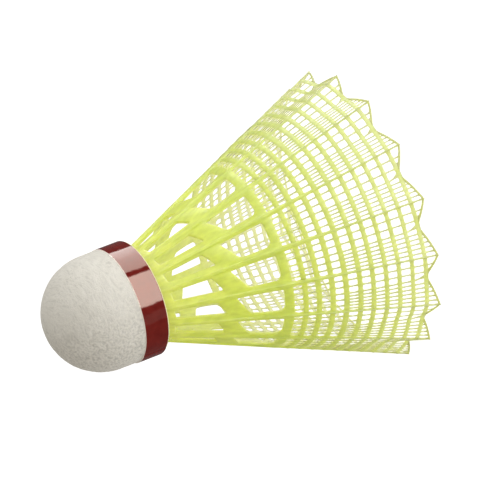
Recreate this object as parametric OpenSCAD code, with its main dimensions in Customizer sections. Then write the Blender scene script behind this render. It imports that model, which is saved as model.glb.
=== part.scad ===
// Nylon badminton shuttlecock, standing on the tips of its skirt with the cork up.
// Millimetres. The axis is Z, the tips rest on z = 0 and the nose is at the top.
// Heights along the skirt are given as s, the distance down from the cork's flat face.
// Angles round the skirt are degrees from a stem, clockwise seen from above.

/* [Base] */
// Diameter over the trim band
base_d = 26; // [25:0.1:28]
// Height of the straight side, from the flat face to the start of the dome
base_side_h = 9.7; // [8:0.1:14]
// Thickness of the leather cover
cover_t = 0.6; // [0.4:0.1:1]

/* [Trim band] */
// Width of the tape
band_w = 5.7; // [4:0.1:7]
// Thickness of the tape
band_t = 0.1; // [0.05:0.05:0.2]
// Leather left bare between the tape and the flat face
band_gap = 0.3; // [0.1:0.1:1]
// Arc over which the tape's end laps its start, in degrees
lap_angle = 24; // [10:1:40]

/* [Spigot and glue] */
// Diameter of the spigot that goes into the cork
spigot_d = 16.8; // [15.4:0.1:18]
// Depth of the spigot in the cork
spigot_h = 6.5; // [4:0.1:8]
// Bore of the spigot
bore_d = 14.4; // [12:0.1:15.6]
// Thickness of the glue film
glue_t = 0.1; // [0.05:0.05:0.2]
// Size of the glue fillet around the collar
fillet_w = 0.7; // [0.4:0.1:1]

/* [Skirt] */
// Height from the tips to the cork's flat face
skirt_h = 56.2; // [52:0.1:62]
// Diameter of the circle through the tips
mouth_d = 66.2; // [60:0.1:68]
// Diameter of the skirt where it meets the cork
throat_d = 19.5; // [18:0.1:21]
// Number of stems
stems = 16; // [12:1:18]
// Wall thickness at the collar
collar_t = 0.95; // [0.6:0.05:1.4]
// Wall thickness at the rim
rim_t = 0.5; // [0.3:0.05:0.8]
// Height of the raised ridge along each stem at the collar
ridge_h = 0.55; // [0.3:0.05:0.8]

/* [Rings] */
// Number of narrow rings in the lattice
rings = 10; // [6:1:12]
// Distance from the flat face to the first narrow ring
first_ring_s = 28.9; // [28:0.1:32]
// Height of the tips beyond the last narrow ring
tip_h = 2.9; // [2.4:0.1:5]
// Width of the first narrow ring
first_ring_w = 1.15; // [0.8:0.05:1.4]
// Width of the last narrow ring
last_ring_w = 0.8; // [0.5:0.05:1]

/* [Hidden] */
$fn = 96;

pitch = 360 / stems;
throat_r = throat_d / 2;
mouth_r = mouth_d / 2;
band_r = base_d / 2;
cover_r = band_r - band_t;
core_r = cover_r - cover_t;
spigot_r = spigot_d / 2;
bore_r = bore_d / 2;
socket_r = spigot_r + glue_t;
seat_s = glue_t;                 // the collar stands off the flat face by the glue film
last_ring_s = skirt_h - tip_h;
ring_step = (last_ring_s - first_ring_s) / (rings - 1);
rim_s = last_ring_s + last_ring_w / 2;

// Openings of the collar and the cage, as the arc from stem to stem that each one spans
collar_s = 2.2;                  // where the collar's inside meets the wall's inside
slot_s = [2.8, 13.1];            // slots between the collar and the upper ring
slot_arc = [0.15, 0.71] * pitch;
slot_corner_s = 11.2;            // where the slanting lower edge of a slot meets its short side
corner_arc = 2.0;                // arc and height that an opening's corner is cut off by
corner_h = 0.5;
window_s = [15.3, 24.8];         // windows between the upper ring and the lower ring
window_arc = [0.09, 0.82] * pitch;
window_corner_s = 18.0;          // where the slanting upper edge of a window meets its long side
cage_end_s = 26.4;               // lower edge of the wide lower ring
thin_s = 25.6;                   // from here down the wall is as thin as the rim
valley_arc = 0.44 * pitch;       // the notch between two tips
notch_h = 0.15;                  // the notch's distance below the last ring
bulge = [0.6 * valley_arc, 0.9]; // a tip's side bulges: the arc and the height of its widest point
edge_w = 0.45;                   // width of the bar that outlines each tip
tip_w = 0.7;                     // width of the flat at the end of each tip

// Outer radius of the wall, its thickness and the height of its ridge at a distance s
function wall_r(s) = throat_r + (mouth_r - throat_r) * s / skirt_h;
function wall_t(s) = collar_t + (rim_t - collar_t) * min(1, s / thin_s);
function ridge_at(s) = ridge_h * (1 - 0.75 * s / skirt_h);
function z_at(s) = skirt_h - s;
// Place and width of a narrow ring, and the arc that half a stem takes at s
function ring_s(i) = first_ring_s + i * ring_step;
function ring_w(i) = first_ring_w + (last_ring_w - first_ring_w) * i / (rings - 1);
function deg_of(width, s) = width / wall_r(s) * 180 / PI;
function stem_w(s) = 1.25 - 0.75 * (s - cage_end_s) / (skirt_h - cage_end_s);
function half_stem_arc(s) = deg_of(stem_w(s) / 2, s);
// A point on the flat outline of an opening: [across, up]
function outline_point(arc, s) = [wall_r(s) * sin(pitch / 2 - arc), z_at(s)];

// Half section of the base: a quarter circle on a straight side, r wide, from the flat face up
module base_section(r, bottom_z) {
    side_top_z = skirt_h + base_side_h;
    translate([0, side_top_z]) intersection() {
        circle(r);
        square([r, r]);
    }
    translate([0, bottom_z]) square([r, side_top_z - bottom_z]);
}

module cork_core() {
    color([0.74, 0.57, 0.38]) difference() {
        rotate_extrude() base_section(core_r, skirt_h);
        translate([0, 0, skirt_h - 1]) cylinder(r = socket_r, h = 1 + spigot_h + glue_t);
    }
}

module leather_cover() {
    color([0.88, 0.87, 0.84]) rotate_extrude() difference() {
        base_section(cover_r, skirt_h);
        base_section(core_r, skirt_h - 1);
    }
}

// One turn of tape, whose end laps over its start
module trim_band() {
    lift = skirt_h + band_gap;
    color([0.42, 0.05, 0.08]) {
        rotate_extrude() translate([cover_r, lift]) square([band_t, band_w]);
        rotate([0, 0, 180]) rotate_extrude(angle = lap_angle)
            translate([cover_r, lift]) square([2 * band_t, band_w]);
    }
}

// Film round the spigot and under the collar, with a fillet squeezed out round the collar
module glue_joint() {
    top_z = skirt_h + spigot_h;
    color([0.9, 0.9, 0.7]) rotate_extrude() polygon([
        [spigot_r, top_z], [socket_r, top_z], [socket_r, skirt_h],
        [throat_r + fillet_w, skirt_h], [wall_r(seat_s + fillet_w), z_at(seat_s + fillet_w)],
        [wall_r(seat_s), z_at(seat_s)], [spigot_r, z_at(seat_s)]
    ]);
}

// Hollow spigot and the cone of the wall, in one section turned from midway between two stems
module skirt_shell() {
    top_z = skirt_h + spigot_h;
    rotate([0, 0, pitch / 2]) rotate_extrude() polygon([
        [bore_r, top_z], [spigot_r, top_z], [spigot_r, z_at(seat_s)],
        [wall_r(seat_s), z_at(seat_s)], [mouth_r, 0], [mouth_r - rim_t, 0],
        [wall_r(thin_s) - rim_t, z_at(thin_s)],
        [wall_r(collar_s) - wall_t(collar_s), z_at(collar_s)], [bore_r, skirt_h]
    ]);
}

// Cuts an outline, drawn as [arc, s] points, through the wall between stem i and the next
module opening(i, points) {
    inner_x = wall_r(min([for (p = points) p[1]])) - 4;
    rotate([0, 0, -(i + 0.5) * pitch]) translate([inner_x, 0, 0]) rotate([90, 0, 90])
        linear_extrude(height = mouth_r + 2 - inner_x)
            polygon([for (p = points) outline_point(p[0], p[1])]);
}

module slot(i) {
    opening(i, [
        [slot_arc[0], slot_s[0] + corner_h], [slot_arc[0] + corner_arc, slot_s[0]],
        [slot_arc[1], slot_s[0]], [slot_arc[1], slot_s[1]], [slot_arc[0], slot_corner_s]
    ]);
}

module window(i) {
    opening(i, [
        [window_arc[0], window_s[0]], [window_arc[0] + corner_arc, window_s[0]],
        [window_arc[1] - corner_arc, window_corner_s - corner_h],
        [window_arc[1], window_corner_s + corner_h], [window_arc[1], window_s[1] - 2 * corner_h],
        [window_arc[1] - corner_arc, window_s[1]], [window_arc[0] + corner_arc, window_s[1]],
        [window_arc[0], window_s[1] - corner_h]
    ]);
}

// Open cell of the lattice above narrow ring j
module cell(i, j) {
    top_s = j == 0 ? cage_end_s : ring_s(j - 1) + ring_w(j - 1) / 2;
    low_s = ring_s(j) - ring_w(j) / 2;
    opening(i, [
        [half_stem_arc(top_s), top_s], [pitch - half_stem_arc(top_s), top_s],
        [pitch - half_stem_arc(low_s), low_s], [half_stem_arc(low_s), low_s]
    ]);
}

// Gap between two tips, and the two open triangles inside their outline
module tip_gap(i) {
    below_s = skirt_h + 1;
    tip_arc = deg_of(tip_w / 2, skirt_h);
    stem_arc = half_stem_arc(skirt_h);
    edge_arc = deg_of(edge_w * 1.3, rim_s);
    near_s = skirt_h - 2.4 * edge_w;
    opening(i, [
        [tip_arc, below_s], [tip_arc, skirt_h], [bulge[0], skirt_h - bulge[1]],
        [valley_arc, rim_s + notch_h], [pitch - tip_arc, skirt_h], [pitch - tip_arc, below_s]
    ]);
    opening(i, [
        [stem_arc, rim_s], [stem_arc, near_s], [valley_arc - edge_arc, rim_s]
    ]);
    opening(i, [
        [valley_arc + edge_arc, rim_s], [pitch - stem_arc, near_s], [pitch - stem_arc, rim_s]
    ]);
}

// Narrow ridges that stand on the outside of the wall, one along each stem
module ridges() {
    start_s = seat_s + fillet_w + 0.4;
    rise_s = start_s + 1;
    foot_w = 0.4;
    head_w = 0.8;
    intersection() {
        rotate([0, 0, pitch / 2]) rotate_extrude() polygon([
            [wall_r(start_s) - collar_t / 2, z_at(start_s)], [wall_r(start_s), z_at(start_s)],
            [wall_r(rise_s) + ridge_at(rise_s), z_at(rise_s)],
            [wall_r(skirt_h) + ridge_at(skirt_h), 0], [mouth_r - rim_t / 2, 0]
        ]);
        for (i = [0 : stems - 1]) rotate([0, 0, i * pitch]) rotate([90, 0, 90])
            linear_extrude(height = mouth_r + 1)
                polygon([
                    [-foot_w / 2, 0], [foot_w / 2, 0], [head_w / 2, skirt_h], [-head_w / 2, skirt_h]
                ]);
    }
}

module skirt() {
    color([0.80, 0.88, 0.25]) {
        difference() {
            skirt_shell();
            for (i = [0 : stems - 1]) {
                slot(i);
                window(i);
                for (j = [0 : rings - 1]) cell(i, j);
                tip_gap(i);
            }
        }
        ridges();
    }
}

cork_core();
leather_cover();
trim_band();
glue_joint();
skirt();
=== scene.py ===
"""Nylon badminton shuttlecock: the looks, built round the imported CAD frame.

Blender objects are in metres. The shape functions below work in millimetres, as the CAD does:
s is the distance down the skirt from the cork's flat face, and an arc is in degrees from a stem,
clockwise seen from above.
"""

import math

import bpy
import numpy as np
from mathutils import Matrix, Vector, noise


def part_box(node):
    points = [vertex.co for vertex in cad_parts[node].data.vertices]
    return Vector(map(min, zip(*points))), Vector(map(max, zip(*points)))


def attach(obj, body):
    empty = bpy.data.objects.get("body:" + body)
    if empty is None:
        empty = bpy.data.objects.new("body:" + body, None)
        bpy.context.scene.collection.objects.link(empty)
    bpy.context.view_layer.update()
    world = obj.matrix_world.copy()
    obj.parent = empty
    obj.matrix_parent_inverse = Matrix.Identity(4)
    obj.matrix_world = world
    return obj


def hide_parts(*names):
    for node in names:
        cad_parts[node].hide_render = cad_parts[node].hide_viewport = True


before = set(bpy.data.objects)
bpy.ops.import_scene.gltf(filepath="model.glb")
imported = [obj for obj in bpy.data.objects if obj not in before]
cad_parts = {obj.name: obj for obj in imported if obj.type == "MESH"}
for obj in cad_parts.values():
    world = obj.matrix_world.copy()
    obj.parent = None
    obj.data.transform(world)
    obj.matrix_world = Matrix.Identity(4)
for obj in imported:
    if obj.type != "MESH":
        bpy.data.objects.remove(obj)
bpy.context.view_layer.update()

MM = 0.001
SHARP_DEGREES = 48                     # edges that turn by more than this aren't shaded smooth
NOISE_SEED = 7
noise.seed_set(NOISE_SEED)             # noise_vector would follow the clock without it


# ---------------------------------------------------------------- sizes read from the frame

def box_mm(node):
    low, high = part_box(node)
    return Vector(low) / MM, Vector(high) / MM


SKIRT_LOW, SKIRT_HIGH = box_mm("skirt")
CORE_LOW, CORE_HIGH = box_mm("cork_core")
COVER_HIGH = box_mm("leather_cover")[1]
BAND_LOW, BAND_HIGH = box_mm("trim_band")

FACE_Z = CORE_LOW.z                    # the cork's flat face
COVER_R = COVER_HIGH.x
CORE_R = CORE_HIGH.x
DOME_Z = COVER_HIGH.z - COVER_R        # where the straight side meets the dome
SPIGOT_TOP_S = FACE_Z - SKIRT_HIGH.z
TIP_S = FACE_Z - SKIRT_LOW.z
RIDGE_AT_TIP = 0.14                    # how far a stem's ridge stands proud of the wall at its tip
TIP_R = SKIRT_HIGH.x - RIDGE_AT_TIP


# ---------------------------------------------------------------- small helpers

def mix(a, b, t):
    return a + (b - a) * t


def ramp(x, points):
    """Value at x on the broken line through (x, value) points."""
    return float(np.interp(x, [p[0] for p in points], [p[1] for p in points]))


def smooth(x):
    x = min(1.0, max(0.0, x))
    return x * x * (3 - 2 * x)


def make_object(name, vertices_mm, faces):
    mesh = bpy.data.meshes.new(name)
    mesh.from_pydata([tuple(c * MM for c in v) for v in vertices_mm], [], faces)
    mesh.validate()
    mesh.shade_smooth()
    mesh.set_sharp_from_angle(angle=math.radians(SHARP_DEGREES))
    obj = bpy.data.objects.new(name, mesh)
    bpy.context.scene.collection.objects.link(obj)
    return obj


def mark_vertices(mesh, name, values):
    """Gives every vertex a number that a material can read."""
    mesh.attributes.new(name, "FLOAT", "POINT").data.foreach_set("value", values)


# ---------------------------------------------------------------- camera

def add_camera():
    """The camera looks down on the cork end and is rolled, so that the skirt points right."""
    azimuth, elevation, roll = math.radians(3.6), math.radians(23.8), math.radians(-111.0)
    distance, lens, sensor = 998.9, 331.3, 36
    pan_right, pan_up = 9.5, 4.7
    back = Vector((math.sin(azimuth) * math.cos(elevation),
                   -math.cos(azimuth) * math.cos(elevation),
                   math.sin(elevation)))
    level_right = Vector((0, 0, 1)).cross(back).normalized()
    level_up = back.cross(level_right)
    right = level_right * math.cos(roll) + level_up * math.sin(roll)
    up = back.cross(right)
    centre = Vector((0, 0, (SKIRT_LOW.z + COVER_HIGH.z) / 2))
    place = (centre + back * distance + right * pan_right + up * pan_up) * MM
    data = bpy.data.cameras.new("camera")
    data.sensor_width = sensor
    data.lens = lens
    data.clip_start, data.clip_end = 0.05, 50
    camera = bpy.data.objects.new("camera", data)
    camera.matrix_world = Matrix.Translation(place) @ Matrix((right, up, back)).transposed().to_4x4()
    bpy.context.scene.collection.objects.link(camera)
    bpy.context.scene.camera = camera


# ---------------------------------------------------------------- skirt: sizes

THROAT_R = 9.75                        # the wall's radius at the cork's flat face
SPIGOT_R = 8.4
BORE_R = 7.2
SEAT_S = 0.1                           # the collar stands off the flat face by the glue film
COLLAR_LOW_S = 1.0
LEAN = math.atan2(TIP_R - THROAT_R, TIP_S)    # angle between the wall and the axis
OUTER, INNER = 0, 1                    # the wall's two skins

STEMS = 16
PITCH = 360 / STEMS
# How wide a stem is and how high its ridge stands, as (s, size) points
STEM_WIDTHS = [(27.5, 1.15), (33, 0.85), (38.4, 0.52), (46, 0.36), (52, 0.33), (56, 0.27)]
RIDGE_HEIGHTS = [(0.6, 0.0), (2.0, 0.36), (26, 0.3), (40, 0.2), (TIP_S, RIDGE_AT_TIP)]
RIDGE_HALF = 0.5                       # half a ridge's width at its foot, where the stem is wide
RIDGE_SHARE = 0.375                    # the same as a share of the stem's width, where it is narrow
RIDGE_TOP_SHARE = 0.5                  # the ridge's flat top against its foot

# Between two stems lie a slot and, below it, a window. Their two sides, as (s, arc) points
OPENING_START = [(2.6, 4.0), (11.4, 3.4), (15.3, 2.7), (25.0, 2.4)]
OPENING_END = [(3.0, 15.2), (13.1, 16.6), (15.3, 18.6), (25.0, 18.6)]
# Their upper and lower edges: (s at the first side, s at the second, width, radius of both corners)
SLOT_TOP = (2.6, 3.0, 2.4, 0.5, 0.5)
SLOT_LOW = (11.3, 13.2, 3.4, 0.35, 0.5)
WINDOW_TOP = (15.2, 18.0, 4.6, 0.4, 0.9)
WINDOW_LOW = (24.8, 24.8, 5.6, 0.5, 1.5)
QUARTERS = (0.25, 0.5, 0.75)
EDGE_STEP = 0.3                        # from an opening's edge to the wall's next row of points
WALL_CROWN = 0.02                      # how far the wall stands out away from those edges
WIDE_RING_LOW_S = 26.6                 # the wide ring runs from the windows down to here
STEM_HALF_AT_WIDE_RING = 0.6

# (distance down, width) of each narrow ring
RINGS = [(28.95, 0.98), (31.65, 1.02), (34.4, 1.02), (37.15, 1.02), (40.0, 0.9),
         (42.65, 0.86), (45.35, 0.82), (48.0, 0.79), (50.7, 0.75), (53.4, 0.76)]
RING_DEPTHS = (0.5, 0.28)              # of the first ring and, nearly, of the last
RING_CROWN = 0.06                      # how far a ring's middle stands out
RING_BELLY = 0.04                      # and how much deeper it goes inwards

# (arc from the stem before it, whether it starts at the wide ring) of each thread. The others
# start below the fourth narrow ring.
THREAD_STEP = PITCH / 6
THREADS = sorted([(THREAD_STEP * k, True) for k in range(1, 6)]
                 + [(THREAD_STEP * (k + 0.5), False) for k in range(3, 6)])
COARSE_ROWS = 4
THREAD_WIDTHS = [(27, 0.27), (40, 0.26), (56, 0.24)]    # as (s, width) points
THREAD_DEPTH = 0.26
THREAD_SINK = 0.02                     # how far threads lie below the rings' edges
MESH_START_S = 25.0                    # from here the lines of a panel turn towards its threads
MESH_TURN = 1.2                        # and they are there this much further down
FLARING_THREAD = 2                     # the middle one, which turns and widens to the lowest ring
FLARE_START_S = RINGS[-2][0] + 0.5
FLARE_END_S = RINGS[-1][0] - 0.3
FLARE_ARC = 10.2                       # where it meets the lowest ring
FLARE_WIDTH = 0.3

VALLEY = (8.6, 11.5)                   # arcs between which the lowest ring itself is the rim
VALLEY_S = 53.85
RIM_W = 0.36
RIM_DEPTH = 0.36
RIM_CROWN = 0.04                       # how far the rim's middle stands out
RIM_BELLY = 0.02                       # and how much deeper it goes inwards
RIM_BULGE = 0.08                       # how far the outline stands beyond a straight line
RIM_LEAST = 0.05                       # least distance between the rim's rows and the lowest ring

GROOVE_START_S = 36.0                  # the V between two stems starts here
GROOVE_RUN = 30.0
GROOVE_RATE = 2.916                    # depth it would have after that run
GROOVE_DEPTH = 2.07                    # depth at which it stops
GROOVE_ARC = 10.8                      # arc of its bottom

CHAMFER = 0.08
CORNER_FILL = 0.07
LINE_GAP = 0.05                        # least arc between two of a panel's lines
ROW_GAP = 0.1                          # rows nearer than this leave no hole between them
CROWDING = 0.55                        # 0 spaces the lines evenly over an opening, 1 by a cosine

# The lines of one panel, from a stem's centre to just before the next one. A thread has four:
# its two edges, its middle between them, and one halfway to the next thread.
WEB_AFTER = 3                          # the line along the far side of this panel's first stem
FIRST_THREAD_LINE = WEB_AFTER + 2
LINES_PER_THREAD = 4
WEB_BEFORE = FIRST_THREAD_LINE + LINES_PER_THREAD * len(THREADS)   # the near side of the next stem
LINES = WEB_BEFORE + 3

# How much painted shade the nylon's material reads: 1 for a thread, 0 for the middle of a ring. The lists
# are (s, share)
RIM_SHADE = 0.65
STEM_SHADE = [(30, 0.0), (56, 0.5)]
SHADE_START_S = RINGS[0][0] - RINGS[0][1]    # above this even a thread gets no painted shade
RING_EDGE_SHADE = 0.2
INNER_SKIN_SHADE = 0.5                  # the inner skin's share of the outer one's painted shade
MOUTH_LIGHT = [(2, 0.3), (24, 0.6), (30, 1.0)]    # how much light the inner skin catches, going down


# ---------------------------------------------------------------- skirt: outlines

def cone_r(s):
    return THROAT_R + (TIP_R - THROAT_R) * s / TIP_S


def degrees_of(width, s):
    return math.degrees(width / cone_r(s))


def groove(arc, s):
    """How far the wall sinks, square to its face, in the V between two stems that deepens downwards."""
    depth = min(GROOVE_DEPTH, GROOVE_RATE * smooth((s - GROOVE_START_S) / GROOVE_RUN))
    side = arc / GROOVE_ARC if arc < GROOVE_ARC else (PITCH - arc) / (PITCH - GROOVE_ARC)
    return depth * max(0.0, side)


def stem_width(s):
    return ramp(s, STEM_WIDTHS)


def ridge_half(s):
    """Half the width of a stem's ridge at its foot."""
    if s <= WIDE_RING_LOW_S:
        return RIDGE_HALF
    return min(RIDGE_HALF, RIDGE_SHARE * stem_width(s))


def web_arcs(s):
    """Arcs where the opening between two stems starts and ends."""
    if s > WIDE_RING_LOW_S:
        narrow = degrees_of(stem_width(s) / 2, s)
        return narrow, PITCH - narrow
    last = degrees_of(STEM_HALF_AT_WIDE_RING, WIDE_RING_LOW_S)
    after = ramp(s, OPENING_START + [(WIDE_RING_LOW_S, last)])
    before = ramp(s, OPENING_END + [(WIDE_RING_LOW_S, PITCH - last)])
    return after, before


def across(line):
    """Share of the way across an opening, closer together near its two sides."""
    t = (line - WEB_AFTER) / (WEB_BEFORE - WEB_AFTER)
    return mix(t, (1 - math.cos(math.pi * t)) / 2, CROWDING)


def flare(index, s):
    """How far the flaring thread has turned on its way to the lowest ring, from 0 to 1."""
    if index != FLARING_THREAD:
        return 0.0
    return smooth((s - FLARE_START_S) / (FLARE_END_S - FLARE_START_S))


def thread_arc(index, s):
    return mix(THREADS[index][0], FLARE_ARC, flare(index, s))


def thread_half(index, s):
    """Half a thread's width, in degrees."""
    widening = FLARE_WIDTH if s < RINGS[-1][0] else 0.0
    return degrees_of(ramp(s, THREAD_WIDTHS) / 2 + widening * flare(index, s) ** 2, s)


def meshed_arc(line, s, after, before):
    """Arc of a line that follows a thread, or runs halfway between two."""
    index, part = divmod(line - FIRST_THREAD_LINE, LINES_PER_THREAD)
    if part < 3:
        return thread_arc(index, s) + (part - 1) * thread_half(index, s)
    left = thread_arc(index, s) if index >= 0 else after
    right = thread_arc(index + 1, s) if index + 1 < len(THREADS) else before
    return (left + right) / 2


def line_arc(line, s):
    """Arc of one of a panel's lines at a distance s."""
    after, before = web_arcs(s)
    foot = degrees_of(ridge_half(s), s)
    top = foot * RIDGE_TOP_SHARE
    along_stem = {0: 0.0, 1: top, 2: foot, WEB_AFTER: after,
                  WEB_BEFORE: before, WEB_BEFORE + 1: PITCH - foot, WEB_BEFORE + 2: PITCH - top}
    if line in along_stem:
        return along_stem[line]
    spread = after + (before - after) * across(line)
    if s <= MESH_START_S:
        return spread
    meshed = meshed_arc(line, s, after, before)
    arc = mix(spread, meshed, min(1.0, (s - MESH_START_S) / MESH_TURN))
    arc = max(arc, after + LINE_GAP * (line - WEB_AFTER))
    return min(arc, before - LINE_GAP * (WEB_BEFORE - line))


def rounded(u, width, start_r, end_r):
    """How far an opening's edge turns in at its two ends, which have these corner radii."""
    turn = 0.0
    for distance, radius in ((u * width, start_r), ((1 - u) * width, end_r)):
        if distance < radius:
            turn += radius - math.sqrt(radius ** 2 - (radius - distance) ** 2)
    return turn


def opening_edge(edge, turn_down):
    """An opening's edge, over its width. Its corners turn down at the top edge and up at the lower one."""
    start_s, end_s, width, start_r, end_r = edge
    way = 1 if turn_down else -1
    return lambda u: mix(start_s, end_s, u) + way * rounded(u, width, start_r, end_r)


def rim_s(arc):
    """The outline of the rim: a point at each stem, and between two the lowest ring itself."""
    if arc < VALLEY[0]:
        t = 1 - arc / VALLEY[0]
    else:
        t = max(0.0, arc - VALLEY[1]) / (PITCH - VALLEY[1])
    return mix(VALLEY_S, TIP_S, t) + RIM_BULGE * math.sin(math.pi * t)


# ---------------------------------------------------------------- skirt: rows and cells

def over_stem(curve):
    """Turns a curve over an opening's width into one over all lines, straight across the stems."""
    start, end = curve(0.0), curve(1.0)
    steps = WEB_AFTER + LINES - WEB_BEFORE

    def at(line):
        if WEB_AFTER <= line <= WEB_BEFORE:
            return curve(across(line))
        return mix(end, start, (line - WEB_BEFORE) % LINES / steps)
    return at


def between(first, second, share):
    return lambda line: mix(first(line), second(line), share)


def shifted(curve, distance):
    return lambda line: curve(line) + distance


def level(s):
    return lambda line: s


def opening_rows():
    """Rows from the collar to the wide ring's lower edge, as skirt_rows gives them."""
    slot_a, slot_b = over_stem(opening_edge(SLOT_TOP, True)), over_stem(opening_edge(SLOT_LOW, False))
    window_a = over_stem(opening_edge(WINDOW_TOP, True))
    window_b = over_stem(opening_edge(WINDOW_LOW, False))
    rows = [(shifted(slot_a, -0.35), 0, 0.9, "full"), (slot_a, 0, 0.88, "open")]
    rows += [(between(slot_a, slot_b, share), 0, 0.84, "open") for share in QUARTERS]
    rows += [(slot_b, 0, 0.8, "full"),
             (shifted(slot_b, EDGE_STEP), WALL_CROWN, 0.8, "full"),
             (between(slot_b, window_a, 0.5), WALL_CROWN, 0.78, "full"),
             (shifted(window_a, -EDGE_STEP), WALL_CROWN, 0.76, "full"),
             (window_a, 0, 0.74, "open")]
    rows += [(between(window_a, window_b, share), 0, 0.7, "open") for share in QUARTERS]
    rows += [(window_b, 0, 0.66, "full"),
             (shifted(window_b, EDGE_STEP), WALL_CROWN, 0.68, "full"),
             (level(WIDE_RING_LOW_S - EDGE_STEP), WALL_CROWN, 0.66, "full"),
             (level(WIDE_RING_LOW_S), 0, 0.62, "coarse")]
    return rows


def rim_rows(ring_low):
    """Rows from below the lowest ring to the outline of the rim, as skirt_rows gives them."""
    def rim(share):
        def at(line):
            outline = rim_s(line_arc(line, ring_low))
            return max(ring_low + RIM_LEAST * (1 + share), outline - RIM_W * (1 - share))
        return at
    return [(between(level(ring_low), rim(0), 0.5), -THREAD_SINK, THREAD_DEPTH, "fine"),
            (rim(0), 0, RIM_DEPTH, "full"),
            (rim(0.5), RIM_CROWN, RIM_DEPTH + RIM_BELLY, "full"),
            (rim(1), 0, RIM_DEPTH, "end")]


def skirt_rows():
    """Rows of the skirt's wall below the collar: (curve, outer height, inner depth, cells below).

    cells below says what lies between a row and the next: full, open, coarse or fine.
    """
    rows = opening_rows()
    above = WIDE_RING_LOW_S
    for index, (middle, width) in enumerate(RINGS):
        cells = "coarse" if index < COARSE_ROWS else "fine"
        below = "coarse" if index + 1 < COARSE_ROWS else "fine"
        top, low = middle - width / 2, middle + width / 2
        depth = mix(*RING_DEPTHS, index / len(RINGS))
        rows += [(level((above + top) / 2), -THREAD_SINK, THREAD_DEPTH, cells),
                 (level(top), 0, depth, "full"),
                 (level(middle), RING_CROWN, depth + RING_BELLY, "full"),
                 (level(low), 0, depth, below)]
        above = low
    return rows + rim_rows(above)


def stem_ridge(line, s):
    """Height of the ridge along a stem, at one of the panel's lines."""
    if line in (0, 1, WEB_BEFORE + 2):
        return ramp(s, RIDGE_HEIGHTS)
    return 0.0


def is_solid(cells, line, gap):
    """Whether the cell after this line is part of the wall."""
    if cells == "full" or line < WEB_AFTER or line >= WEB_BEFORE:
        return True
    if cells == "open":
        return False
    if gap < ROW_GAP:
        return True
    index, part = divmod(line - FIRST_THREAD_LINE, LINES_PER_THREAD)
    if line < FIRST_THREAD_LINE or part > 1:
        return False
    return cells == "fine" or THREADS[index][1]


def skirt_grid():
    """The wall's rows, each point's s and arc, and the state of every cell, for one panel."""
    rows = skirt_rows()
    count = len(rows)
    s = np.array([[curve(line) for line in range(LINES)] for curve, _, _, _ in rows])
    arc = np.array([[line_arc(line, s[row, line]) for line in range(LINES)] for row in range(count)])
    solid = np.zeros((count - 1, LINES), bool)
    for row in range(count - 1):
        for line in range(LINES):
            after = (line + 1) % LINES
            gap = min(s[row + 1, line] - s[row, line], s[row + 1, after] - s[row, after])
            solid[row, line] = is_solid(rows[row][3], line, gap)
    return rows, s, arc, solid


# ---------------------------------------------------------------- skirt: mesh

def collar_profile():
    """The turned part above the wall: (outer radius, outer s, inner radius, inner s)."""
    bevel = 0.15
    return [(SPIGOT_R - bevel, SPIGOT_TOP_S, BORE_R + bevel, SPIGOT_TOP_S),
            (SPIGOT_R, SPIGOT_TOP_S + bevel, BORE_R, SPIGOT_TOP_S + bevel),
            (SPIGOT_R, SEAT_S - 0.02, BORE_R, -0.2),
            (SPIGOT_R + 0.02, SEAT_S, BORE_R + 0.1, 0.05),
            (cone_r(SEAT_S) - 0.12, SEAT_S, BORE_R + 0.6, 0.45),
            (cone_r(SEAT_S) + 0.02, SEAT_S + 0.12, BORE_R + 1.3, 0.95),
            (cone_r(COLLAR_LOW_S), COLLAR_LOW_S, BORE_R + 2.0, 1.5)]


def cells_around(solid, row, line):
    """States of the four cells round a point: above it before and after, and below it the same."""
    before = (line - 1) % LINES
    up, down = max(row - 1, 0), min(row, len(solid) - 1)
    around = [solid[up, before], solid[up, line], solid[down, before], solid[down, line]]
    if row == len(solid):
        around[2:] = [False, False]
    return around


def wall_point(grid, row, line):
    """A point of the wall: its arc, and the radius and s of its outer and of its inner skin."""
    rows, s, arc, solid = grid
    here_s, here_arc = s[row, line], arc[row, line]
    around = cells_around(solid, row, line)
    if sum(around) == 3:
        here_s += CORNER_FILL if around[0] and around[1] else -CORNER_FILL
        turn = degrees_of(CORNER_FILL, here_s)
        here_arc += turn if around[0] and around[2] else -turn
    chamfer = 0 if all(around) else CHAMFER
    sink = groove(here_arc % PITCH, here_s)
    wall_r = cone_r(here_s) - sink * math.cos(LEAN)
    wall_s = here_s + sink * math.sin(LEAN)
    _, height, depth, _ = rows[row]
    outer_r = wall_r + height + stem_ridge(line, here_s) - chamfer
    inner_r = wall_r - depth + chamfer
    return here_arc, outer_r, wall_s, inner_r, wall_s


def panel_points(grid):
    """Every point of one panel, row by row from the top, in wall_point's form."""
    _, _, arc, _ = grid
    *upper, (lip_r, lip_s, *lip_inside) = collar_profile()
    panel = [[(arc[0, line], *point) for line in range(LINES)] for point in upper]
    panel.append([(arc[0, line], lip_r + stem_ridge(line, lip_s), lip_s, *lip_inside)
                  for line in range(LINES)])
    panel += [[wall_point(grid, row, line) for line in range(LINES)] for row in range(len(arc))]
    return panel


def spun_round(panel, skin):
    """The vertices of one skin: the panel's points, once for each stem."""
    vertices = []
    for row in panel:
        for stem in range(STEMS):
            for arc, *place in row:
                radius, s = place[2 * skin:2 * skin + 2]
                angle = -math.radians(stem * PITCH + arc)
                vertices.append((radius * math.cos(angle), radius * math.sin(angle), FACE_Z - s))
    return vertices


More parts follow.
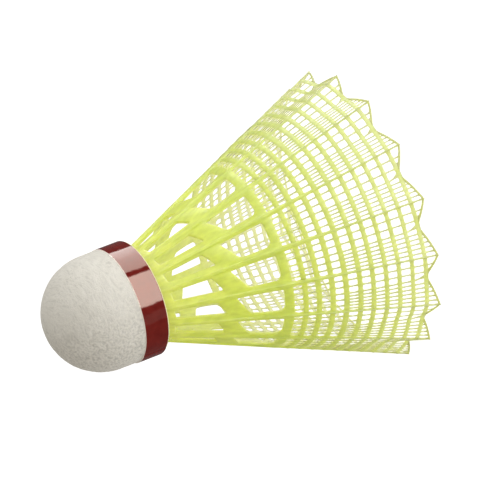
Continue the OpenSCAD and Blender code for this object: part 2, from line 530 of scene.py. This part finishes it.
def skirt_faces(solid):
    """Faces of both skins, and of the edges that join them round every hole."""
    row_count = len(solid)
    columns = STEMS * LINES

    def point(row, column, skin):
        return (skin * (row_count + 1) + row) * columns + column % columns

    faces = []
    for row in range(row_count):
        for column in range(columns):
            line = column % LINES
            if not solid[row, line]:
                continue
            a, b = (row, column), (row, column + 1)
            c, d = (row + 1, column + 1), (row + 1, column)
            faces.append([point(*p, OUTER) for p in (a, b, c, d)])
            faces.append([point(*p, INNER) for p in (d, c, b, a)])
            sides = [(a, b, row == 0 or not solid[row - 1, line]),
                     (b, c, not solid[row, (line + 1) % LINES]),
                     (c, d, row == row_count - 1 or not solid[row + 1, line]),
                     (d, a, not solid[row, line - 1])]
            for p, q, bare in sides:
                if bare:
                    faces.append([point(*q, OUTER), point(*p, OUTER), point(*p, INNER), point(*q, INNER)])
    return faces


def thinness(row, line, s):
    """Painted shade: 1 on most threads, 0 along a ring's middle, and in between on the rim and low on the
    stems.
    """
    here_s = s[row, line]
    if row >= len(s) - 3:
        return RIM_SHADE
    if line <= WEB_AFTER or line >= WEB_BEFORE:
        return ramp(here_s, STEM_SHADE)
    if here_s < SHADE_START_S:
        return 0.0
    off_ring = min(abs(here_s - middle) / width for middle, width in RINGS)
    return ramp(off_ring, [(0.1, 0.0), (0.5, RING_EDGE_SHADE), (0.52, 1.0)])


def add_attributes(mesh, used, row_count, first_row, s):
    """Gives each vertex its share of painted shade, and on the inner skin its share of painted light, for
    the material.
    """
    thin, inside = [], []
    for vertex in used:
        skin, place = divmod(vertex, row_count * STEMS * LINES)
        row, column = divmod(place, STEMS * LINES)
        row, line = row - first_row, column % LINES
        in_collar = row < 0
        share = INNER_SKIN_SHADE if skin == INNER else 1.0
        thin.append(0.0 if in_collar else thinness(row, line, s) * share)
        # painted light: the inner skin gets a paler colour, more of it towards the mouth
        inside.append(0.0 if in_collar or skin == OUTER else ramp(s[row, line], MOUTH_LIGHT))
    mark_vertices(mesh, "thin", thin)
    mark_vertices(mesh, "inside", inside)


def build_skirt():
    grid = skirt_grid()
    rows, s, _, wall_solid = grid
    panel = panel_points(grid)
    first_row = len(panel) - len(rows)
    solid = np.ones((len(panel) - 1, LINES), bool)
    solid[first_row:] = wall_solid
    vertices = spun_round(panel, OUTER) + spun_round(panel, INNER)
    faces = skirt_faces(solid)
    used = sorted({v for f in faces for v in f})
    renumber = {v: i for i, v in enumerate(used)}
    skirt = make_object("nylon_skirt", [vertices[v] for v in used],
                        [[renumber[v] for v in f] for f in faces])
    add_attributes(skirt.data, used, len(panel), first_row, s)
    return skirt


# ---------------------------------------------------------------- base

COVER_COLUMNS = 520
COVER_STEPS_UP = 40                    # rows up the straight side
COVER_STEPS_OVER = 110                 # rows over the dome
COVER_STEPS_INSIDE = 14
WRINKLE = 0.035                        # half the height of the leather's fine wrinkles
PEBBLE = 0.03                          # half the height of its pebbles
UNEVEN = 0.05                          # half the height of its broad unevenness
SUNK = 0.04                            # how far it lies below the CAD cover, to stay inside it
GRAIN_BEND = 1.6                       # how far the wrinkles and the pebbles wander
GRAIN_BEND_SCALE = 0.3                 # these four are noise cells to the millimetre
WRINKLE_SCALE_ALONG = 0.6
WRINKLE_SCALE_ACROSS = 1.35
PEBBLE_SCALE = 2.3
PEBBLE_OFFSET = Vector((2, 9, 4))      # keeps the pebbles' noise apart from the wrinkles'

TAPE = 0.1                             # the tape's thickness
TAPE_SOFT = 0.06                       # the rounding of its edges
TAPE_LAP = (math.radians(180), math.radians(204))    # where its end lies over its start
TAPE_COLUMNS = 480
TAPE_STEPS = 10


def turned(name, profile, columns, wobble):
    """Turns a closed profile of (r, z) points round the axis. A point on the axis becomes one vertex."""
    vertices, rings = [], []
    for index, (r, z) in enumerate(profile):
        if r < 1e-6:
            rings.append([len(vertices)] * columns)
            vertices.append((0, 0, z))
            continue
        ring = []
        for k in range(columns):
            angle = 2 * math.pi * k / columns
            ring.append(len(vertices))
            vertices.append(wobble(index, angle, r * math.cos(angle), r * math.sin(angle), z))
        rings.append(ring)
    faces = []
    for low, high in zip(rings, rings[1:] + rings[:1]):
        for k in range(columns):
            n = (k + 1) % columns
            face = [low[k], low[n], high[n], high[k]]
            face = [v for i, v in enumerate(face) if v != face[i - 1]]
            if len(set(face)) > 2:
                faces.append(face)
    return make_object(name, vertices, faces)


def leather_grain(place):
    """Height of the leather's wrinkles, which run round the axis, and of pebbles on its -X side."""
    side = place.x / COVER_R
    from_nose = math.atan2(math.hypot(place.x, place.y), max(0.0, place.z - DOME_Z)) * COVER_R
    bend = noise.noise_vector(place * GRAIN_BEND_SCALE) * GRAIN_BEND
    wrinkle = noise.noise(Vector((place.x * WRINKLE_SCALE_ALONG + bend.x,
                                  place.y * WRINKLE_SCALE_ALONG + bend.y,
                                  (from_nose - place.z + bend.z) * WRINKLE_SCALE_ACROSS)))
    pebble = noise.noise(place * PEBBLE_SCALE + bend + PEBBLE_OFFSET)
    pebbly = smooth(0.2 - 1.3 * side)
    wrinkles = (0.6 - 2 * abs(wrinkle)) * WRINKLE * mix(1.0, 0.5, pebbly)
    return wrinkles + pebble * PEBBLE * mix(0.3, 3.4, pebbly)


def cover_outside():
    """The outline of the leather's outer skin, from its cut edge up to the nose."""
    cut_round, cut_middle = 0.25, 0.07
    outside = [(COVER_R - cut_round, FACE_Z), (COVER_R - cut_middle, FACE_Z + cut_middle),
               (COVER_R, FACE_Z + cut_round)]
    outside += [(COVER_R, mix(FACE_Z + cut_round, DOME_Z, k / COVER_STEPS_UP))
                for k in range(1, COVER_STEPS_UP)]
    for k in range(COVER_STEPS_OVER):
        angle = math.pi / 2 * k / COVER_STEPS_OVER
        outside.append((COVER_R * math.cos(angle), DOME_Z + COVER_R * math.sin(angle)))
    return outside + [(0, DOME_Z + COVER_R)]


def cover_inside():
    """The outline of its inner skin, from the nose down to the cork's flat face."""
    inside = [(0, DOME_Z + CORE_R)]
    for k in range(1, COVER_STEPS_INSIDE + 1):
        angle = math.pi / 2 * (1 - k / COVER_STEPS_INSIDE)
        inside.append((CORE_R * math.cos(angle), DOME_Z + CORE_R * math.sin(angle)))
    return inside + [(CORE_R, FACE_Z)]


def build_cover():
    """The leather: a dome on a straight side, 0.6 mm thick, gently uneven as stretched skin is."""
    outside = cover_outside()

    def wobble(index, angle, x, y, z):
        if index >= len(outside):
            return x, y, z
        place = Vector((x, y, z))
        out = Vector((x, y, max(0.0, z - DOME_Z))).normalized()
        broad = noise.noise(place * 0.22) * UNEVEN
        fade = smooth((z - BAND_HIGH.z) / 1.5)
        move = (broad - SUNK + leather_grain(place)) * fade
        return tuple(place + out * move)
    cover = turned("leather_skin", outside + cover_inside(), COVER_COLUMNS, wobble)
    # the grain's height, which the leather's material turns into painted shade in the hollows
    grain = [leather_grain(v.co / MM) / (WRINKLE + PEBBLE) for v in cover.data.vertices]
    mark_vertices(cover.data, "grain", grain)
    return cover


def build_band():
    """One turn of tape. Its end laps over its start and stands a tape's thickness higher."""
    inner_r, outer_r = COVER_R - 0.02, COVER_R + TAPE
    low, high = BAND_LOW.z, BAND_HIGH.z
    flat_low, flat_high = low + 2.5 * TAPE_SOFT, high - 2.5 * TAPE_SOFT
    heights = [low + TAPE_SOFT, flat_low]
    heights += [mix(flat_low, flat_high, k / TAPE_STEPS) for k in range(1, TAPE_STEPS)]
    heights += [flat_high, high - TAPE_SOFT]
    profile = [(inner_r, low), (outer_r - TAPE_SOFT, low)]
    profile += [(outer_r, z) for z in heights]
    profile += [(outer_r - TAPE_SOFT, high), (inner_r, high)]

    def wobble(index, angle, x, y, z):
        if index in (0, len(profile) - 1):
            return x, y, z
        rise = 0.0
        if TAPE_LAP[0] <= angle <= TAPE_LAP[1]:
            rise = TAPE * smooth((angle - TAPE_LAP[0]) / math.radians(3))
        ripple = noise.noise(Vector((math.cos(angle) * 9, math.sin(angle) * 9, z * 0.35))) * 0.02
        from_edge = min(1.0, (z - low) / 0.6, (high - z) / 0.6)
        r = math.hypot(x, y) + rise + ripple * max(0.0, from_edge)
        return r * math.cos(angle), r * math.sin(angle), z
    return turned("tape_band", profile, TAPE_COLUMNS, wobble)


# ---------------------------------------------------------------- material helpers

def new_material(name, **sockets):
    """A material, its node tree and its shader, whose sockets are set by name."""
    material = bpy.data.materials.new(name)
    material.use_nodes = True
    shader = material.node_tree.nodes["Principled BSDF"]
    for socket, value in sockets.items():
        shader.inputs[socket.replace("_", " ")].default_value = value
    return material, material.node_tree, shader


def add(tree, kind, **values):
    """Adds a node, sets its inputs and properties by name, and links an input given as a socket."""
    node = tree.nodes.new(kind)
    for key, value in values.items():
        name = key.replace("_", " ")
        if name in node.inputs and not hasattr(node, key):
            if isinstance(value, bpy.types.NodeSocket):
                tree.links.new(value, node.inputs[name])
            else:
                node.inputs[name].default_value = value
        else:
            setattr(node, key, value)
    return node


def scaled(tree, vector, factor):
    """Multiplies a vector or colour by one factor."""
    node = add(tree, "ShaderNodeVectorMath", operation="SCALE", Scale=factor)
    tree.links.new(vector, node.inputs[0])
    return node.outputs[0]


def stretched(tree, vector, factors):
    """Multiplies a vector's three parts by fixed factors."""
    node = add(tree, "ShaderNodeVectorMath", operation="MULTIPLY")
    tree.links.new(vector, node.inputs[0])
    node.inputs[1].default_value = factors
    return node.outputs[0]


def place_of(tree):
    """Millimetre coordinates on the object."""
    coordinates = tree.nodes.new("ShaderNodeTexCoord")
    return scaled(tree, coordinates.outputs["Object"], 1 / MM)


def height_of(tree, place):
    return add(tree, "ShaderNodeSeparateXYZ", Vector=place).outputs["Z"]


def attribute(tree, name):
    return add(tree, "ShaderNodeAttribute", attribute_name=name).outputs["Fac"]


def noise_of(tree, place, **settings):
    return add(tree, "ShaderNodeTexNoise", Vector=place, **settings).outputs["Fac"]


def mapped(tree, value, from_range, to_range=(0.0, 1.0)):
    """Maps one range of a value onto another, and stops at its ends."""
    node = add(tree, "ShaderNodeMapRange", Value=value, From_Min=from_range[0], From_Max=from_range[1],
               To_Min=to_range[0], To_Max=to_range[1])
    return node.outputs["Result"]


def mixed(tree, share, first, second, blend_type="MIX"):
    node = add(tree, "ShaderNodeMixRGB", blend_type=blend_type, Fac=share, Color1=first, Color2=second)
    return node.outputs["Color"]


def colour_ramp(tree, value, stops):
    node = tree.nodes.new("ShaderNodeValToRGB")
    tree.links.new(value, node.inputs["Fac"])
    elements = node.color_ramp.elements
    while len(elements) < len(stops):
        elements.new(0.5)
    for element, (place, colour) in zip(elements, stops):
        element.position = place
        element.color = (*colour, 1)
    return node.outputs["Color"]


def raise_bump(tree, shader, height, strength, distance):
    """Lets a height show as bump. The distance is in metres."""
    bump = add(tree, "ShaderNodeBump", Strength=strength, Distance=distance, Height=height)
    tree.links.new(bump.outputs["Normal"], shader.inputs["Normal"])


# ---------------------------------------------------------------- materials

def nylon_material():
    """Translucent yellow-green nylon with faint streaks down the wall.

    It is brightest at the collar, with painted shade that greys the threads and painted light that pales
    the inner skin.
    """
    material, tree, shader = new_material(
        "nylon", Roughness=0.34, IOR=1.53, Subsurface_Weight=1.0, Subsurface_Scale=0.003,
        Subsurface_Radius=(1.0, 1.0, 0.35), Specular_IOR_Level=0.4)
    place = place_of(tree)
    down = mapped(tree, height_of(tree, place), (FACE_Z, 0.0))
    colour = colour_ramp(tree, down,
                         [(0.0, (0.72, 0.81, 0.23)), (0.1, (0.68, 0.79, 0.17)),
                          (0.24, (0.645, 0.75, 0.165)), (0.42, (0.56, 0.665, 0.16)),
                          (0.7, (0.50, 0.597, 0.23)), (1.0, (0.48, 0.56, 0.29))])
    # painted light: the inside attribute pales the inner skin, as if it were lit through the mouth
    inner = mixed(tree, attribute(tree, "inside"), colour, (0.85, 0.89, 0.46, 1))
    # painted shade: threads, ring edges, the rim and the low stems are greyed towards dark grey
    shaded_nylon = mixed(tree, attribute(tree, "thin"), inner, (0.165, 0.155, 0.135, 1))
    streaks = noise_of(tree, stretched(tree, place, (1.0, 1.0, 0.12)), Scale=0.8, Detail=3.0)
    shade = mapped(tree, streaks, (0.2, 0.8), (0.82, 1.16))
    tree.links.new(scaled(tree, shaded_nylon, shade), shader.inputs["Base Color"])
    fine = noise_of(tree, place, Scale=2.2, Detail=4.0)
    raise_bump(tree, shader, fine, 0.12, 0.00005)
    return material


def leather_material():
    """Pale synthetic leather with painted shade in its hollows, and a yellowish cut edge below the tape."""
    material, tree, shader = new_material(
        "leather", IOR=1.5, Specular_IOR_Level=0.35, Sheen_Weight=0.05, Sheen_Roughness=0.5)
    place = place_of(tree)
    cloud = noise_of(tree, place, Scale=0.35, Detail=5.0, Roughness=0.7)
    colour = colour_ramp(tree, cloud, [(0.3, (0.73, 0.70, 0.62)), (0.7, (0.78, 0.75, 0.675))])
    # painted shade: the grain's hollows are darkened, down to 0.74 of the colour
    hollow_shade = mapped(tree, attribute(tree, "grain"), (-0.8, 0.4), (0.74, 1.0))
    hollow_shaded = mixed(tree, 1.0, colour, hollow_shade, blend_type="MULTIPLY")
    cut = mapped(tree, height_of(tree, place), (BAND_LOW.z - 0.05, BAND_LOW.z + 0.05), (1.0, 0.0))
    edged = mixed(tree, cut, hollow_shaded, (0.92, 0.85, 0.50, 1))
    tree.links.new(edged, shader.inputs["Base Color"])

    bend = add(tree, "ShaderNodeTexNoise", Vector=place, Scale=0.25, Detail=2.0)
    bent = add(tree, "ShaderNodeVectorMath", operation="MULTIPLY_ADD")
    tree.links.new(bend.outputs["Color"], bent.inputs[0])
    bent.inputs[1].default_value = (3.0, 3.0, 3.0)
    tree.links.new(place, bent.inputs[2])
    squeezed = stretched(tree, bent.outputs[0], (1.0, 1.0, 2.2))
    wrinkles = noise_of(tree, squeezed, Scale=1.1, Detail=3.0, Roughness=0.6)
    cells = add(tree, "ShaderNodeTexVoronoi", Vector=bent.outputs[0], Scale=2.1, feature="DISTANCE_TO_EDGE")
    creases = colour_ramp(tree, cells.outputs["Distance"], [(0.0, (0, 0, 0)), (0.2, (1, 1, 1))])
    raise_bump(tree, shader, mixed(tree, 0.5, creases, wrinkles), 0.6, 0.00008)
    rough = mapped(tree, wrinkles, (0.0, 1.0), (0.5, 0.68))
    tree.links.new(rough, shader.inputs["Roughness"])
    return material


def tape_material():
    """Glossy dark red tape with a pale line along its upper edge, partly its cream edge and partly a
    painted highlight.
    """
    material, tree, shader = new_material(
        "tape", IOR=1.5, Specular_IOR_Level=0.5, Specular_Tint=(1.0, 0.83, 0.70, 1))
    place = place_of(tree)
    cloud = noise_of(tree, place, Scale=0.5, Detail=3.0)
    red = colour_ramp(tree, cloud, [(0.3, (0.142, 0.008, 0.006)), (0.7, (0.180, 0.013, 0.009))])
    # a pale line along the upper edge: partly the tape's cream edge, partly a painted highlight
    edge = mapped(tree, height_of(tree, place), (BAND_HIGH.z - 0.19, BAND_HIGH.z - 0.11))
    edged = mixed(tree, edge, red, (0.93, 0.86, 0.76, 1))
    tree.links.new(edged, shader.inputs["Base Color"])
    fine = noise_of(tree, place, Scale=1.3, Detail=3.0)
    raise_bump(tree, shader, fine, 0.35, 0.00002)
    rough = mapped(tree, cloud, (0.0, 1.0), (0.06, 0.11))
    tree.links.new(rough, shader.inputs["Roughness"])
    return material


def cork_material():
    """Brown cork in grains of different shades, with small pits."""
    material, tree, shader = new_material("cork", Roughness=0.85, Specular_IOR_Level=0.2)
    place = place_of(tree)
    grains = add(tree, "ShaderNodeTexVoronoi", Vector=place, Scale=0.9)
    colour = colour_ramp(tree, grains.outputs["Color"],
                         [(0.2, (0.34, 0.19, 0.09)), (0.5, (0.50, 0.32, 0.17)), (0.8, (0.62, 0.44, 0.27))])
    tree.links.new(colour, shader.inputs["Base Color"])
    pits = noise_of(tree, place, Scale=2.5, Detail=4.0)
    raise_bump(tree, shader, pits, 0.6, 0.0002)
    return material


def glue_material():
    """Milky, yellowish glue that lets a little light through."""
    material, tree, shader = new_material(
        "glue", Roughness=0.35, IOR=1.48, Transmission_Weight=0.1)
    cloud = noise_of(tree, place_of(tree), Scale=1.2, Detail=2.0)
    colour = colour_ramp(tree, cloud, [(0.3, (0.80, 0.78, 0.55)), (0.7, (0.88, 0.86, 0.66))])
    tree.links.new(colour, shader.inputs["Base Color"])
    return material


def floor_material():
    """A plain pale surface that glows evenly, so that the object leaves almost no shadow on it."""
    material, tree, shader = new_material(
        "floor", Roughness=0.9, Specular_IOR_Level=0.1, Emission_Strength=0.92)
    cloud = noise_of(tree, place_of(tree), Scale=0.002, Detail=1.0)
    colour = colour_ramp(tree, cloud, [(0.3, (0.38, 0.38, 0.38)), (0.7, (0.40, 0.40, 0.40))])
    tree.links.new(colour, shader.inputs["Base Color"])
    return material


# ---------------------------------------------------------------- stage, in metres

STAGE_R = 3.0
BACKDROP_HEIGHT = 1.2
STAGE_CORNERS = 64
PANEL_DISTANCE = 0.6
PANEL_HEIGHT = 0.7
PANEL_Z = -0.29                        # height of a panel's middle


def add_stage_piece(name, vertices, faces, material):
    mesh = bpy.data.meshes.new(name)
    mesh.from_pydata(vertices, [], faces)
    mesh.materials.append(material)
    piece = bpy.data.objects.new(name, mesh)
    piece.visible_glossy = False
    bpy.context.scene.collection.objects.link(piece)
    return piece


def add_floor_and_backdrop():
    """A round floor, and a low wall round it that only the camera sees."""
    corners = STAGE_CORNERS
    angles = [2 * math.pi * k / corners for k in range(corners)]
    rim = [(STAGE_R * math.cos(angle), STAGE_R * math.sin(angle)) for angle in angles]
    low = [(x, y, 0) for x, y in rim]
    high = [(x, y, BACKDROP_HEIGHT) for x, y in rim]
    walls = [(k, (k + 1) % corners, corners + (k + 1) % corners, corners + k) for k in range(corners)]
    material = floor_material()
    add_stage_piece("floor", low, [range(corners)], material)
    backdrop = add_stage_piece("backdrop", low + high, walls, material)
    backdrop.visible_diffuse = False
    backdrop.visible_transmission = False
    backdrop.visible_shadow = False


def add_world():
    """Soft light from above the horizon, warmer and weaker from the -X side, and little from below."""
    world = bpy.data.worlds.new("world")
    world.use_nodes = True
    tree = world.node_tree
    sky = tree.nodes.new("ShaderNodeTexCoord")
    direction = add(tree, "ShaderNodeSeparateXYZ", Vector=sky.outputs["Generated"])
    side = mapped(tree, direction.outputs["X"], (-1.0, 1.0))
    tint = colour_ramp(tree, side, [(0.0, (0.28, 0.25, 0.21)), (1.0, (0.86, 0.86, 0.85))])
    above = mapped(tree, direction.outputs["Z"], (0.0, 0.02))
    tone = mixed(tree, above, (0.13, 0.13, 0.13, 1), tint)
    tree.links.new(tone, tree.nodes["Background"].inputs["Color"])
    bpy.context.scene.world = world


def add_area_light(name, place, target, size, radiance):
    """A rectangular soft light. The power follows from its size and how bright its face is."""
    data = bpy.data.lights.new(name, "AREA")
    data.shape = "RECTANGLE"
    data.size, data.size_y = size
    data.energy = radiance * math.pi * size[0] * size[1]
    light = bpy.data.objects.new(name, data)
    light.location = place
    light.rotation_euler = (Vector(target) - Vector(place)).to_track_quat("-Z", "Y").to_euler()
    light.visible_camera = False
    bpy.context.scene.collection.objects.link(light)
    return light


def add_reflected_panel(name, azimuth_degrees, width_degrees, radiance):
    """A low panel beside the object, which only shows as a bright patch in the glossy tape."""
    azimuth = math.radians(azimuth_degrees)
    middle = (PANEL_DISTANCE * math.cos(azimuth), PANEL_DISTANCE * math.sin(azimuth), PANEL_Z)
    width = 2 * PANEL_DISTANCE * math.tan(math.radians(width_degrees / 2))
    panel = add_area_light(name, middle, (0, 0, PANEL_Z), (width, PANEL_HEIGHT), radiance)
    panel.visible_diffuse = False
    panel.visible_transmission = False


def add_lights():
    add_area_light("key", place=(0.50, -0.75, 0.20), target=(0, 0, 0.05), size=(0.5, 0.5), radiance=1.6)
    add_reflected_panel("panel_1", azimuth_degrees=-132, width_degrees=20, radiance=0.4)
    add_reflected_panel("panel_2", azimuth_degrees=-74.5, width_degrees=63, radiance=11.0)
    add_reflected_panel("panel_3", azimuth_degrees=-2.5, width_degrees=62, radiance=7.3)
    bpy.context.scene.view_settings.view_transform = "Standard"


# ---------------------------------------------------------------- assembly

def finish_piece(piece, node, material):
    piece.data.materials.append(material)
    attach(piece, "root")
    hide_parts(node)


def repaint(node, material):
    """Gives a CAD node that stays its material."""
    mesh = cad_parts[node].data
    mesh.materials.clear()
    mesh.materials.append(material)


add_camera()
finish_piece(build_skirt(), "skirt", nylon_material())
finish_piece(build_cover(), "leather_cover", leather_material())
finish_piece(build_band(), "trim_band", tape_material())
repaint("cork_core", cork_material())
repaint("glue_joint", glue_material())
add_floor_and_backdrop()
add_world()
add_lights()
